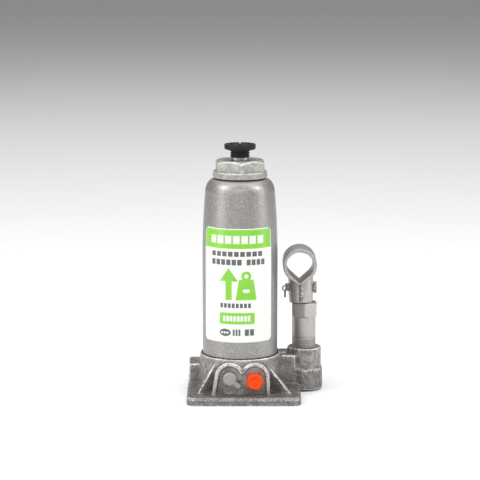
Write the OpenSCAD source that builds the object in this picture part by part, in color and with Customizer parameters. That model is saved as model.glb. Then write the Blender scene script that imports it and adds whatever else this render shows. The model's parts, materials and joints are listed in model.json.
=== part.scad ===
// Hydraulic bottle jack with an extension screw, a hand pump and a handle socket.
// Millimetres. The origin is on the ram's axis, on the underside of the base. +Z is the lifting
// direction, +X points to the pump and -Y to the two valves.

/* [Lift] */
// Distance that oil pressure raises the ram
lift = 125; // [90:5:160]
// Distance that the extension screw turns out of the ram
screw_lift = 60; // [30:5:70]

/* [Tank] */
// Outer diameter of the oil tank
tank_d = 58; // [54:1:68]
// Wall of the tank
tank_wall = 2; // [1.5:0.1:2.5]
// Radius that the tank loses from its straight part up to its shoulder
taper_drop = 2.2; // [1:0.1:3]
// Height of the slightly tapered part below the shoulder
taper_h = 53; // [30:1:60]
// Height of the shoulder's curve
shoulder_h = 10.6; // [8:0.2:13]
// Width of the shoulder's curve
shoulder_w = 7.5; // [6:0.1:8.5]

/* [Ram and cylinder] */
// Diameter of the ram
ram_d = 24; // [20:1:25]
// Bore of the pressure cylinder
cylinder_bore = 28; // [27:0.5:29]
// Wall of the pressure cylinder
cylinder_wall = 3.5; // [3:0.1:4]
// Height of the piston's head under the ram
piston_h = 4; // [3:0.5:6]
// Height of the cup seal under the piston's head
cup_h = 3; // [2:0.5:4]
// Height of the backing ring between head and cup seal
backing_h = 2; // [1:0.5:3]

/* [Extension screw] */
// Outer diameter of the screw's thread
screw_d = 13.8; // [12:0.2:14]
// Pitch of the screw's thread
screw_pitch = 3; // [2:0.5:4]
// Length of thread inside the ram's top
ram_thread_h = 25; // [18:1:28]
// Diameter of the plain shoulder under the saddle
screw_shoulder_d = 14.4; // [14.4:0.1:16]
// Height of the plain shoulder under the saddle
screw_shoulder_h = 2.3; // [1.5:0.1:4]

/* [Saddle] */
// Diameter of the saddle's load face
saddle_d = 24; // [20:1:30]
// Height of the saddle's head
saddle_head_h = 5; // [4:0.5:8]
// Diameter of the grooved collar under the head
saddle_collar_d = 14.8; // [14:0.2:18]
// Height of the grooved collar under the head
saddle_collar_h = 4.8; // [4:0.2:8]

/* [Top nut] */
// Hexagon of the top nut, across its flats
nut_af = 36; // [34:1:38]
// Height of the hexagon
nut_hex_h = 8.5; // [7:0.5:11]
// Diameter of the round flange under the hexagon
nut_flange_d = 41.8; // [38:0.2:42]
// Height of the round flange
nut_flange_h = 5.1; // [4:0.1:6]
// Length of the threaded spigot inside the cylinder
nut_spigot_h = 9.1; // [8.6:0.1:12]

/* [Base] */
// Thickness of the base flange
flange_h = 6.2; // [5:0.2:8]
// Width of the flange in front of the tank
toe_front = 15.5; // [12:0.5:20]
// Width of the flange behind the tank
toe_back = 16; // [14:0.5:20]
// Width of the flange to the left of the tank
toe_left = 11.6; // [10:0.2:16]
// Width of the flange to the right of the tank
toe_right = 17.5; // [14:0.5:18]
// Height of the round collar that holds the tank
collar_h = 32.7; // [30.5:0.1:36]
// Wall of the collar outside the tank
collar_wall = 1.9; // [1.8:0.1:3]
// Height of the cylinder's seat above the floor
seat_z = 23; // [23:0.5:24.5]

/* [Valves] */
// Sideways place of the release valve
release_x = -7.9; // [-10:0.1:-7]
// Sideways place of the overload valve
overload_x = 11.3; // [11:0.1:13]
// Height of the release valve
valve_z = 19; // [18.5:0.1:19]
// Height of the overload valve
overload_z = 16.8; // [16.8:0.1:19]
// Diameter of the release screw's head
release_head_d = 10; // [9:0.5:12]
// Reach of the release screw's tab from its axis
release_tab_r = 10; // [8:0.5:11]
// Diameter of the overload valve's cap
cap_d = 12.4; // [11:0.2:14]

/* [Pump] */
// Distance of the pump's axis outside the tank
pump_gap = 21.3; // [20.5:0.1:26]
// Distance of the pump's axis behind the ram's axis
pump_y = 15; // [12:0.5:16]
// Diameter of the pump boss
boss_d = 26.4; // [25:0.2:28]
// Height of the pump boss
boss_h = 33.8; // [32:0.2:36]
// Diameter of the pump cylinder
pump_d = 18; // [17:0.2:18.6]
// Hexagon of the pump cylinder, across its flats
pump_af = 19; // [18.6:0.2:20]
// Diameter of the pump plunger
plunger_d = 12; // [10:0.5:12.5]
// Stroke of the pump plunger
stroke = 16; // [10:1:16]

/* [Handle socket] */
// Bore of the handle socket
socket_bore = 20.9; // [19:0.1:21.5]
// Wall of the handle socket
socket_wall = 2.75; // [2:0.05:3]
// Length of the handle socket
socket_len = 26; // [24:1:30]
// Height of the socket's axis above the top of the clevis pin
socket_rise = 15.9; // [15.9:0.1:19]
// Width of the yoke under the socket
yoke_w = 18.6; // [18.2:0.2:20]
// Diameter of the clevis pin
clevis_d = 6; // [5:0.5:7]
// Distance from the clevis pin back to the link's pin
lever_e = 20; // [18:0.5:21]

/* [Hidden] */
$fn = 96;
eps = 0.01;
run_gap = 0.05;   // radial clearance of a running or sliding fit
thread_gap = 0.1; // radial clearance drawn between two threads
side_gap = 0.3;   // clearance between pieces that pass each other

tank_r = tank_d / 2;
ram_r = ram_d / 2;
bore_r = cylinder_bore / 2;
cylinder_r = bore_r + cylinder_wall;
collar_r = tank_r + collar_wall;

// Heights of the lifting column, from the seat upwards
seal_ring_h = 1;
cylinder_z = seat_z + seal_ring_h;
cup_z = cylinder_z + 0.5;
head_z = cup_z + cup_h + backing_h;
ram_z = head_z + piston_h;
piston_nut_h = 3.4;
piston_stud_h = 12;
stroke_spare = 1;
spigot_z = ram_z + lift + stroke_spare;
tank_top_z = spigot_z + nut_spigot_h;
top_gasket_h = 0.8;
flange_z = tank_top_z + top_gasket_h;
hex_z = flange_z + nut_flange_h;
nut_top_z = hex_z + nut_hex_h;
ram_recess = 0.5;
ram_top_z = nut_top_z - ram_recess;
ram_thread_z = ram_top_z - ram_thread_h;
shoulder_z = ram_top_z + 0.2;
stub_z = shoulder_z + screw_shoulder_h;
saddle_z = stub_z + 0.2;
saddle_head_z = saddle_z + saddle_collar_h;
saddle_top_z = saddle_head_z + saddle_head_h;

// The screw and its stop ring
screw_r = screw_d / 2;
screw_thread_depth = 1;
ram_thread_r = screw_r + thread_gap;
stop_ring_h = 3;
stop_ring_r = screw_r + 1.1;
ram_core_r = stop_ring_r + 0.5;
stop_ring_z = ram_thread_z - screw_lift - stop_ring_h - 0.5;

// The top nut
spigot_r = bore_r + 1;
wiper_r = ram_r + 2.2;
wiper_h = 4;
wiper_z = nut_top_z - 5.5;
oring_cord = 2;
oring_z = spigot_z + 4.5;

// The tank's foot in the collar
foot_z = collar_h - 3;
foot_gasket_t = 1;
groove_in_r = cylinder_r + 3;
groove_out_r = tank_r - tank_wall;
groove_z = seat_z + 3;

// Seats of the valves in the base
chamber_r = ram_r;
chamber_z = 15;
pad_y = -(collar_r + 0.8);
rim_y = -(collar_r + 3.1);
seat_hole_r = 1.5;
ball_r = 2.5;
ball_rise = sqrt(pow(ball_r, 2) - pow(seat_hole_r, 2));
valve_seat_y = -(chamber_r + 3.6);
release_r = 3.5;
overload_r = 3.3;
overload_seat_y = valve_seat_y - 0.4;
overload_ball_y = overload_seat_y - ball_rise;
spring_y = overload_ball_y - ball_r + 0.3;
cap_stem_r = 4.2;
cap_stem_y = pad_y + 3.2;

// The pump's place, and the drillings that run from it towards the ram's axis
pump_x = tank_r + pump_gap;
pump_dir = atan2(pump_y, pump_x);
pump_far = norm([pump_x, pump_y]);
boss_r = boss_d / 2;
boss_foot_r = boss_r + 1.1;
boss_foot_h = 17.5;
boss_lift = 1.2;
pump_r = pump_d / 2;
pump_seat_z = boss_h - 13.8;
washer_h = 1;
pump_thread_h = 8;
pump_hex_z = boss_h + stroke + 7.9;
pump_hex_h = 11.6;
pump_top_z = pump_hex_z + pump_hex_h;
plunger_r = plunger_d / 2;
plunger_z = pump_seat_z + 3.5;
plunger_seal_h = 3;
seal_ring_z = plunger_z + 3;
suction_r = 3.2;
suction_seat_z = 9;
suction_low_z = 4.6;
passage_r = 1.2;
delivery_pass_z = 15.5;
delivery_far = (collar_r + pump_far - boss_r) / 2 + 1.6;
delivery_seat_z = 17;
delivery_r = 3.5;
delivery_ball_z = delivery_seat_z + ball_rise;
delivery_plug_z = 25.6;
outlet_z = 21;
web_h = 29;
groove_mid_r = (groove_in_r + groove_out_r) / 2;

// The handle socket, its yoke and the link
clevis_r = clevis_d / 2;
pin_z = pump_top_z + 11.4;
socket_z = pin_z + clevis_r + socket_rise;
socket_r = socket_bore / 2;
socket_out_r = socket_r + socket_wall;
yoke_x = pump_x - 2.6;
socket_x = yoke_x - 1.2;
socket_y0 = pump_y - socket_len / 2 + 1;
yoke_wall = 2.75;
yoke_in = yoke_w / 2 - yoke_wall;
yoke_front_y = pump_y - clevis_r - 7.5;
yoke_drop = pin_z - pump_top_z - 0.3;
tongue_w = 3.6;
tongue_x = socket_x + 2.6;  // left side of the tongue, clear of the socket's pointed seam
tongue_r = clevis_r + 1.6;
yoke_foot_y = 11;     // reach of the yoke's level lower edge behind the clevis pin
link_y = pump_y + lever_e;
link_w = 3;
link_pin_r = 3;
link_r = 4.5;
link_low_z = 18;
link_play = 1.7;  // the yoke's rear hole is this much larger than the link's pin
lug_w = 2 * (yoke_in - side_gap - link_w) - 2 * side_gap;

cast_grey = "#8d8f90";
paint_grey = "#9a9c9e";
steel = "#c4c6c8";
dark_steel = "#3a3a3c";
rubber_black = "#1d1d1f";
nylon_white = "#e4e1d6";
copper_red = "#b06a45";
cap_orange = "#f05a10";
label_white = "#f0f2ee";

// ---- helpers ----

// A ring about Z from z = 0, or a disc where r_in is 0
module ring(r_out, r_in, h) {
    difference() {
        cylinder(h = h, r = r_out);
        if (r_in > 0) translate([0, 0, -eps]) cylinder(h = h + 2 * eps, r = r_in);
    }
}

// A cylinder whose two ends have 45-degree chamfers
module chamfered(h, r, c) {
    rotate_extrude() polygon([[0, 0], [r - c, 0], [r, c], [r, h - c], [r - c, h], [0, h]]);
}

// A hexagon whose corners are turned off at both ends, with a corner towards -Y. The cut's height
// is slope times its depth.
module turned_hex(af, h, cut, slope = 0.6) {
    corner = af / 2 / cos(30);
    drop = corner - af / 2 + cut;
    intersection() {
        rotate([0, 0, 30]) cylinder(h = h, r = corner, $fn = 6);
        rotate_extrude() polygon([
            [0, 0], [corner - drop, 0], [corner, drop * slope],
            [corner, h - drop * slope], [corner - drop, h], [0, h]
        ]);
    }
}

// The half section of a rod with thread ridges, from z = 0
function ridge_points(r, depth, pitch, turns) = concat(
    [[0, 0], [r - depth, 0]],
    [for (i = [0 : turns - 1]) each [
        [r - depth, i * pitch + 0.15 * pitch], [r, i * pitch + 0.4 * pitch],
        [r, i * pitch + 0.6 * pitch], [r - depth, i * pitch + 0.85 * pitch]
    ]],
    [[r - depth, turns * pitch], [0, turns * pitch]]
);
module ridged(r, depth, pitch, h) {
    turns = floor(h / pitch);
    rotate_extrude() polygon(ridge_points(r, depth, pitch, turns));
    if (h > turns * pitch) translate([0, 0, turns * pitch - eps])
        cylinder(h = h - turns * pitch + eps, r = r - depth);
}

// A coil spring about Z from z = 0 to z = h, with round wire
module coil_spring(r, wire_r, h, turns) {
    per_turn = 20;
    sides = 8;
    steps = turns * per_turn;
    climb = (h - 2 * wire_r) / steps;
    points = [for (i = [0 : steps], k = [0 : sides - 1])
        let (a = i * 360 / per_turn, b = k * 360 / sides, q = r + wire_r * cos(b))
        [q * cos(a), q * sin(a), wire_r + i * climb + wire_r * sin(b)]];
    walls = [for (i = [0 : steps - 1], k = [0 : sides - 1])
        let (n = (k + 1) % sides)
        [i * sides + k, i * sides + n, (i + 1) * sides + n, (i + 1) * sides + k]];
    first = [for (k = [sides - 1 : -1 : 0]) k];
    last = [for (k = [0 : sides - 1]) steps * sides + k];
    polyhedron(points = points, faces = concat([first], walls, [last]));
}

// Places its children on the pump's axis
module at_pump() {
    translate([pump_x, pump_y, 0]) children();
}

// Turns +X to point from the ram's axis to the pump's axis
module towards_pump() {
    rotate([0, 0, pump_dir]) children();
}

// Turns +Z to point out of the front, to -Y
module facing_front() {
    rotate([90, 0, 0]) children();
}

// Turns +Z to point to +X
module facing_right() {
    rotate([0, 90, 0]) children();
}

// ---- the tank's outline ----

shoulder_start_z = tank_top_z - shoulder_h;
taper_start_z = shoulder_start_z - taper_h;
function tank_radius(z) = z < taper_start_z
    ? tank_r
    : tank_r - taper_drop * pow((z - taper_start_z) / taper_h, 2);
function taper_points(grow, steps = 8) = [for (i = [0 : steps])
    let (z = taper_start_z + taper_h * i / steps) [tank_radius(z) + grow, z]];
function shoulder_points(grow, steps = 14) = [for (i = [1 : steps])
    let (a = 90 * i / steps)
    [tank_r - taper_drop - shoulder_w + (shoulder_w + grow) * cos(a),
     shoulder_start_z + (shoulder_h + grow) * sin(a)]];

// Half section of the tank, larger than its outline by grow
module tank_section(grow) {
    polygon(concat(
        [[0, foot_z + foot_gasket_t], [tank_r + grow, foot_z + foot_gasket_t]],
        taper_points(grow), shoulder_points(grow), [[0, tank_top_z + grow]]
    ));
}

// ---- the base ----

flange_corner_r = 6;
flange_bevel = 1.4;

// The flange's plate, with a bevelled top edge
module flange_plate() {
    x_low = -(tank_r + toe_left) + flange_corner_r;
    x_high = tank_r + toe_right - flange_corner_r;
    y_low = -(tank_r + toe_front) + flange_corner_r;
    y_high = tank_r + toe_back - flange_corner_r;
    hull() for (x = [x_low, x_high], y = [y_low, y_high]) translate([x, y, 0]) {
        cylinder(h = flange_h - flange_bevel, r = flange_corner_r, $fn = 32);
        cylinder(h = flange_h, r = flange_corner_r - flange_bevel, $fn = 32);
    }
}

// Outline, in X and Z, of the pad behind the two valves, smaller by inset
module pad_outline(inset) {
    arch_r = 11.2 - inset;
    foot = 3.4;
    for (x = [release_x, overload_x]) translate([x, valve_z + 1]) circle(r = arch_r);
    polygon([
        [release_x - arch_r - foot, 0], [overload_x + arch_r + foot / 4, 0],
        [overload_x + arch_r, valve_z + 1], [overload_x, valve_z + 1],
        [(release_x + overload_x) / 2, valve_z + 1 + arch_r * 0.35],
        [release_x, valve_z + 1], [release_x - arch_r, valve_z + 1]
    ]);
}

pad_rim_w = 2.7;
module valve_pad() {
    difference() {
        facing_front() linear_extrude(-rim_y) pad_outline(0);
        translate([0, pad_y, flange_h]) facing_front()
            linear_extrude(10) translate([0, -flange_h]) pad_outline(pad_rim_w);
    }
}

// A rib that slopes from height top on the collar down to the flange
rib_w = 2.7;
left_rib = [-20, -33, 28];   // X on the collar, X of the foot, height on the collar
right_rib = [23, 39.6, 25];
module rib(from, to, top) {
    run = to - from;
    translate([from[0], from[1], 0]) rotate([0, 0, atan2(run[1], run[0])]) facing_front()
        translate([0, 0, -rib_w / 2]) linear_extrude(rib_w)
        polygon([[-4, 0], [norm(run), 0], [norm(run), flange_h], [0, top], [-4, top]]);
}

// Point on the collar's surface at a sideways place x, on the front
function on_collar(x) = [x, -sqrt(pow(collar_r, 2) - pow(x, 2))];

left_lug_w = 9.6;
left_lug_h = 21.8;
left_lug_y = 4;
left_lug_len = 26;
rib_foot_y = -(tank_r + 3);

boss_corner_w = 8.3;  // square foot at the boss's front left corner
web_step = 2.7;       // the web's front is this far behind the boss's
module pump_boss() {
    at_pump() {
        translate([0, 0, boss_lift]) cylinder(h = boss_h - boss_lift, r = boss_r);
        translate([0, 0, boss_lift]) cylinder(h = boss_foot_h - boss_lift, r = boss_foot_r);
        translate([-boss_corner_w, -boss_r, boss_lift]) cube([boss_corner_w, boss_r, boss_foot_h]);
        translate([-boss_r - 0.1, web_step - boss_r, boss_lift])
            cube([boss_r, boss_r + 4, web_h - boss_lift]);
    }
    translate([collar_r - 4, pump_y - boss_r, 0]) cube([pump_gap - boss_r + 8, boss_d, web_h]);
}

// The lug behind the pump boss that carries the link
module link_lug() {
    lug_len = 6;
    translate([yoke_x - lug_w / 2, 0, 0]) facing_right() linear_extrude(lug_w)
        polygon([
            [0, pump_y], [0, link_y + lug_len], [-link_low_z, link_y + lug_len],
            [-link_low_z - lug_len, link_y + 1], [-link_low_z - lug_len, pump_y]
        ]);
}

// The drillings and wells that hold the oil, the valves and the cylinders
module base_bores() {
    // tank's foot, oil groove, cylinder's well and ram's chamber
    translate([0, 0, foot_z]) cylinder(h = collar_h, r = tank_r + foot_gasket_t);
    translate([0, 0, groove_z]) ring(groove_out_r, groove_in_r, collar_h);
    translate([0, 0, seat_z]) cylinder(h = collar_h, r = cylinder_r + run_gap);
    translate([0, 0, chamber_z]) cylinder(h = collar_h, r = chamber_r);
    // release valve
    translate([release_x, valve_seat_y, valve_z]) facing_front() cylinder(h = 40, r = release_r);
    translate([release_x, 0, valve_z]) facing_front() cylinder(h = -valve_seat_y + eps, r = seat_hole_r);
    // overload valve, with a wider mouth for its cap
    translate([overload_x, overload_seat_y, overload_z]) facing_front() cylinder(h = 40, r = overload_r);
    translate([overload_x, 0, overload_z]) facing_front()
        cylinder(h = -overload_seat_y + eps, r = seat_hole_r);
    translate([overload_x, cap_stem_y, overload_z]) facing_front() cylinder(h = 20, r = cap_stem_r);
    // pump cylinder's well and suction valve
    at_pump() {
        translate([0, 0, pump_seat_z]) cylinder(h = boss_h, r = pump_r + run_gap);
        translate([0, 0, suction_seat_z]) cylinder(h = boss_h, r = suction_r);
        translate([0, 0, suction_low_z]) cylinder(h = boss_h, r = seat_hole_r);
    }
    towards_pump() {
        // suction drilling from the boss's side to the oil groove
        translate([groove_mid_r, 0, suction_low_z]) facing_right() cylinder(h = 80, r = 2);
        translate([groove_mid_r, 0, suction_low_z]) cylinder(h = 40, r = 2);
        // delivery drilling, valve and outlet to the ram's chamber
        translate([delivery_far, 0, delivery_pass_z]) facing_right()
            cylinder(h = pump_far - delivery_far, r = passage_r);
        translate([delivery_far, 0, delivery_pass_z - passage_r]) cylinder(h = 10, r = seat_hole_r);
        translate([delivery_far, 0, delivery_seat_z]) cylinder(h = 40, r = delivery_r);
        translate([chamber_r - 1, 0, outlet_z]) facing_right()
            cylinder(h = delivery_far - chamber_r + 1, r = passage_r);
    }
    // link's lower pin
    translate([yoke_x - lug_w, link_y, link_low_z]) facing_right()
        cylinder(h = 2 * lug_w, r = link_pin_r + run_gap);
}

module base_casting() {
    color(cast_grey) difference() {
        union() {
            flange_plate();
            cylinder(h = collar_h, r = collar_r);
            translate([0, 0, flange_h - eps]) cylinder(h = 5, r1 = collar_r + 3, r2 = collar_r);
            valve_pad();
            rib(on_collar(left_rib.x), [left_rib.y, rib_foot_y], left_rib.z);
            rib(on_collar(right_rib.x), [right_rib.y, rib_foot_y], right_rib.z);
            translate([-(tank_r + toe_left) + 0.6, left_lug_y, 0])
                cube([left_lug_w, left_lug_len, left_lug_h]);
            pump_boss();
            link_lug();
        }
        base_bores();
    }
}

module tank_shell() {
    color(paint_grey) difference() {
        rotate_extrude() tank_section(0);
        translate([0, 0, -eps]) rotate_extrude() intersection() {
            tank_section(-tank_wall);
            square([tank_r, tank_top_z - tank_wall]);
        }
        translate([0, 0, tank_top_z - 3 * tank_wall]) cylinder(h = 20, r = spigot_r + 0.3);
        filler_hole();
    }
}

filler_z = taper_start_z + 8;
filler_hole_r = 4;
module filler_hole() {
    translate([0, tank_r + 5, filler_z]) facing_front() cylinder(h = 15, r = filler_hole_r);
}

// Rubber plug at the back of the tank: a head outside, a neck in the hole and a bulge inside
module filler_plug() {
    color(rubber_black) translate([0, tank_radius(filler_z) + 0.4, filler_z]) rotate([-90, 0, 0])
        rotate_extrude() polygon([
            [0, -7], [2.4, -7], [4.6, -3.6], [filler_hole_r - run_gap, -3.2],
            [filler_hole_r - run_gap, 0], [6.2, 0], [6.2, 1.4], [5.2, 2.2], [0, 2.2]
        ]);
}

// Rubber ring under the tank's foot, with a lip between the tank and the collar
module tank_foot_gasket() {
    lip = 0.4;
    color(rubber_black) translate([0, 0, foot_z]) rotate_extrude() polygon([
        [groove_out_r, 0], [tank_r + foot_gasket_t - run_gap, 0],
        [tank_r + foot_gasket_t - run_gap, collar_h - foot_z + lip],
        [tank_r + run_gap, collar_h - foot_z + lip],
        [tank_r + run_gap, foot_gasket_t - run_gap], [groove_out_r, foot_gasket_t - run_gap]
    ]);
}

label_z = collar_h + 13.3;
label_h = 87.5;
label_left = -64;
label_right = 54.5;
label_t = 0.2;
// Printed wrap-round label on the front of the tank
module label() {
    gap = 0.03;
    lift_points = [for (i = [0 : 12]) label_z + label_h * i / 12];
    color(label_white) rotate([0, 0, 270 + label_left]) rotate_extrude(angle = label_right - label_left)
        polygon(concat(
            [for (z = lift_points) [tank_radius(z) + gap + label_t, z]],
            [for (i = [12 : -1 : 0]) [tank_radius(lift_points[i]) + gap, lift_points[i]]]
        ));
}

module cylinder_tube() {
    color(steel) difference() {
        translate([0, 0, cylinder_z]) cylinder(h = tank_top_z - tank_wall - 1 - cylinder_z, r = cylinder_r);
        translate([0, 0, cylinder_z - eps]) cylinder(h = lift * 2, r = bore_r);
        translate([0, 0, spigot_z - 0.6]) cylinder(h = 40, r = spigot_r + thread_gap);
    }
}

module cylinder_seal_ring() {
    color(copper_red) translate([0, 0, seat_z]) ring(cylinder_r - 0.2, bore_r + 0.2, seal_ring_h);
}

module top_gasket() {
    color(rubber_black) translate([0, 0, tank_top_z])
        ring(tank_r - taper_drop - shoulder_w, spigot_r + 0.2, top_gasket_h);
}

// Closes the tank, guides the ram and screws into the cylinder
module top_nut() {
    color(cast_grey) difference() {
        union() {
            translate([0, 0, spigot_z]) cylinder(h = flange_z - spigot_z + 1, r = spigot_r);
            translate([0, 0, flange_z]) chamfered(nut_flange_h, nut_flange_d / 2, 0.6);
            rotate([0, 0, 4]) translate([0, 0, hex_z - 1]) turned_hex(nut_af, nut_hex_h + 1, 0.6);
        }
        translate([0, 0, spigot_z - 1]) cylinder(h = 60, r = ram_r + run_gap);
        translate([0, 0, wiper_z]) cylinder(h = wiper_h, r = wiper_r);
        translate([0, 0, oring_z]) cylinder(h = oring_cord + 0.2, r = ram_r + oring_cord - 0.1);
    }
}

module top_nut_oring() {
    color(rubber_black) translate([0, 0, oring_z + 0.1])
        ring(ram_r + oring_cord - 0.1, ram_r + run_gap, oring_cord);
}

module ram_wiper() {
    color(rubber_black) translate([0, 0, wiper_z]) rotate_extrude() polygon([
        [ram_r + run_gap, 0], [wiper_r, 0], [wiper_r, wiper_h],
        [ram_r + 1, wiper_h], [ram_r + run_gap, wiper_h - 1]
    ]);
}

// ---- the ram and what it carries ----

module ram() {
    color(steel) difference() {
        translate([0, 0, ram_z]) chamfered(ram_top_z - ram_z, ram_r, 0.5);
        translate([0, 0, ram_z - eps]) cylinder(h = ram_thread_z - ram_z + eps, r = ram_core_r);
        translate([0, 0, ram_z]) cylinder(h = ram_top_z, r = ram_thread_r);
    }
}

piston_neck_r = 5;
module piston_head() {
    color(steel) {
        translate([0, 0, head_z]) cylinder(h = piston_h, r = bore_r - run_gap);
        translate([0, 0, ram_z - eps]) cylinder(h = piston_stud_h, r = ram_core_r - thread_gap);
        translate([0, 0, cup_z - piston_nut_h]) cylinder(h = head_z - cup_z + piston_nut_h + eps, r = piston_neck_r);
    }
}

module ram_backing_ring() {
    color(nylon_white) translate([0, 0, cup_z + cup_h])
        ring(bore_r - run_gap, piston_neck_r + run_gap, backing_h);
}

// U-shaped seal that opens downwards, to the oil pressure
module ram_cup_seal() {
    lip = 1.2;
    color(rubber_black) translate([0, 0, cup_z]) rotate_extrude() polygon([
        [piston_neck_r + run_gap, 0], [bore_r - 3 * lip, 0], [bore_r - 3 * lip, cup_h / 2],
        [bore_r - lip, cup_h / 2], [bore_r - lip, 0], [bore_r - run_gap, 0],
        [bore_r - run_gap, cup_h], [piston_neck_r + run_gap, cup_h]
    ]);
}

module piston_nut() {
    color(steel) translate([0, 0, cup_z - piston_nut_h]) difference() {
        turned_hex(14, piston_nut_h, 0);
        translate([0, 0, -eps]) cylinder(h = 2 * piston_nut_h, r = piston_neck_r + run_gap);
    }
}

stub_r = 4;
stub_h = 6;
ring_seat_z = stub_z + 2.6;
ring_seat_h = 1.4;
// Turns out of the ram: thread, plain shoulder and the stub that the saddle sits on
module extension_screw() {
    color(steel) difference() {
        union() {
            translate([0, 0, stop_ring_z + stop_ring_h])
                ridged(screw_r, screw_thread_depth, screw_pitch, shoulder_z - stop_ring_z - stop_ring_h);
            translate([0, 0, stop_ring_z]) cylinder(h = stop_ring_h + eps, r = stub_r);
            translate([0, 0, shoulder_z]) chamfered(screw_shoulder_h, screw_shoulder_d / 2, 0.3);
            translate([0, 0, stub_z - eps]) chamfered(stub_h, stub_r, 0.4);
        }
        translate([0, 0, ring_seat_z]) ring(stub_r + 1, stub_r - 0.8, ring_seat_h);
    }
}

module screw_stop_ring() {
    color(dark_steel) translate([0, 0, stop_ring_z]) ring(stop_ring_r, stub_r + run_gap, stop_ring_h);
}

saddle_groove_n = 8;
saddle_centre_r = 4.5;
saddle_groove_w = 1.8;
saddle_groove_d = 1.2;
// Swivels on the screw's stub, with a grooved face so that the load can't slip off
module saddle() {
    collar_r2 = saddle_collar_d / 2;
    head_r = saddle_d / 2;
    color(dark_steel) difference() {
        translate([0, 0, saddle_z]) rotate_extrude() polygon([
            [0, 0], [collar_r2 - 0.4, 0], [collar_r2, 0.4], [collar_r2, 1.2], [collar_r2 - 0.7, 1.5],
            [collar_r2 - 0.7, 2], [collar_r2, 2.3], [collar_r2, 3.1], [collar_r2 - 0.7, 3.4],
            [collar_r2 - 0.7, 3.9], [collar_r2, 4.2], [collar_r2, saddle_collar_h],
            [head_r - 0.6, saddle_collar_h + 1], [head_r, saddle_collar_h + 1.6],
            [head_r, saddle_collar_h + saddle_head_h - 0.5],
            [head_r - 0.5, saddle_collar_h + saddle_head_h], [0, saddle_collar_h + saddle_head_h]
        ]);
        for (i = [0 : saddle_groove_n - 1]) rotate([0, 0, i * 360 / saddle_groove_n])
            translate([saddle_centre_r, -saddle_groove_w / 2, saddle_top_z - saddle_groove_d])
            cube([saddle_d, saddle_groove_w, saddle_d]);
        translate([0, 0, saddle_top_z - saddle_groove_d]) ring(saddle_centre_r + 3.6, saddle_centre_r + 2.2, 5);
        translate([0, 0, saddle_z - eps]) cylinder(h = stub_h - 0.2 + 0.3, r = stub_r + run_gap);
        translate([0, 0, ring_seat_z]) cylinder(h = ring_seat_h, r = stub_r + 0.9);
    }
}

module saddle_snap_ring() {
    color(steel) translate([0, 0, ring_seat_z + 0.25]) rotate([0, 0, 20])
        rotate_extrude(angle = 320) translate([stub_r - 0.4, 0]) square([1.2, ring_seat_h - 0.5]);
}

// ---- the valves ----

release_head_t = 3.4;
release_head_y = rim_y - 0.4;
release_tip_y = valve_seat_y - ball_rise - ball_r - 0.05;
oring_seat_y = pad_y + 2.8;
// Valve screw with a round head and one tab that the handle's end turns
module release_screw() {
    tab_w = 3.6;
    color(cast_grey) translate([release_x, 0, valve_z]) difference() {
        union() {
            translate([0, release_tip_y, 0]) facing_front()
                cylinder(h = release_tip_y - pad_y + 1, r = release_r - thread_gap);
            translate([0, pad_y - 0.3, 0]) facing_front()
                cylinder(h = pad_y - 0.3 - release_head_y + 2, r = release_head_d / 2);
            translate([0, release_head_y - 2 + eps, 0]) facing_front()
                cylinder(h = 0.6, r1 = release_head_d / 2, r2 = release_head_d / 2 - 0.6);
            rotate([0, 40, 0]) translate([0, release_head_y - 2, -tab_w / 2])
                cube([release_tab_r, 2, tab_w]);
        }
        translate([0, oring_seat_y, 0]) facing_front() ring(release_r + 1, release_r - 1, 2);
    }
}

module release_oring() {
    color(rubber_black) translate([release_x, oring_seat_y - 0.2, valve_z]) facing_front()
        ring(release_r - run_gap, release_r - 1 + run_gap, 1.6);
}

module release_ball() {
    color(steel) translate([release_x, valve_seat_y - ball_rise, valve_z]) sphere(r = ball_r);
}

overload_screw_len = 4;
overload_screw_y = cap_stem_y + 0.2 + overload_screw_len;
module overload_screw() {
    color(steel) translate([overload_x, overload_screw_y, overload_z]) difference() {
        facing_front() cylinder(h = overload_screw_len, r = overload_r - run_gap);
        translate([0, -overload_screw_len + 1.6, 0]) facing_front()
            translate([-0.5, -overload_r - 1, 0]) cube([1, 2 * overload_r + 2, 5]);
    }
}

module overload_spring() {
    wire = 0.3;
    color(steel) translate([overload_x, spring_y, overload_z]) facing_front()
        coil_spring(overload_r - wire - 0.7, wire, spring_y - overload_screw_y, 4);
}

module overload_ball() {
    color(steel) translate([overload_x, overload_ball_y, overload_z]) sphere(r = ball_r);
}

// Plastic cap that seals the overload valve's mouth
module overload_cap() {
    head_t = 6;
    color(cap_orange) translate([overload_x, pad_y - 0.05, overload_z]) facing_front() {
        translate([0, 0, -2.9]) cylinder(h = 3, r = cap_stem_r - run_gap);
        rotate_extrude() polygon([
            [0, 0], [cap_d / 2, 0], [cap_d / 2, head_t - 1.3], [cap_d / 2 - 0.5, head_t - 0.4],
            [cap_d / 2 - 1.5, head_t], [0, head_t]
        ]);
    }
}

// ---- the pump ----

pump_wiper_r = plunger_r + 1.4;
pump_wiper_h = 3;
module pump_cylinder() {
    thread_depth = 0.8;
    color(steel) at_pump() difference() {
        union() {
            translate([0, 0, pump_seat_z + washer_h]) cylinder(h = boss_h - pump_seat_z - washer_h, r = pump_r);
            translate([0, 0, boss_h - eps]) ridged(pump_r, thread_depth, 1.6, pump_thread_h + 2 * eps);
            translate([0, 0, boss_h + pump_thread_h]) cylinder(h = pump_hex_z - boss_h - pump_thread_h + 1, r = pump_r);
            translate([0, 0, pump_hex_z]) turned_hex(pump_af, pump_hex_h, 0.3, 1);
        }
        translate([0, 0, pump_seat_z]) cylinder(h = 60, r = plunger_r + run_gap);
        translate([0, 0, pump_top_z - pump_wiper_h]) cylinder(h = 10, r = pump_wiper_r);
    }
}

module pump_washer() {
    color(copper_red) at_pump() translate([0, 0, pump_seat_z])
        ring(pump_r - 0.1, plunger_r + 0.4, washer_h);
}

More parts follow.
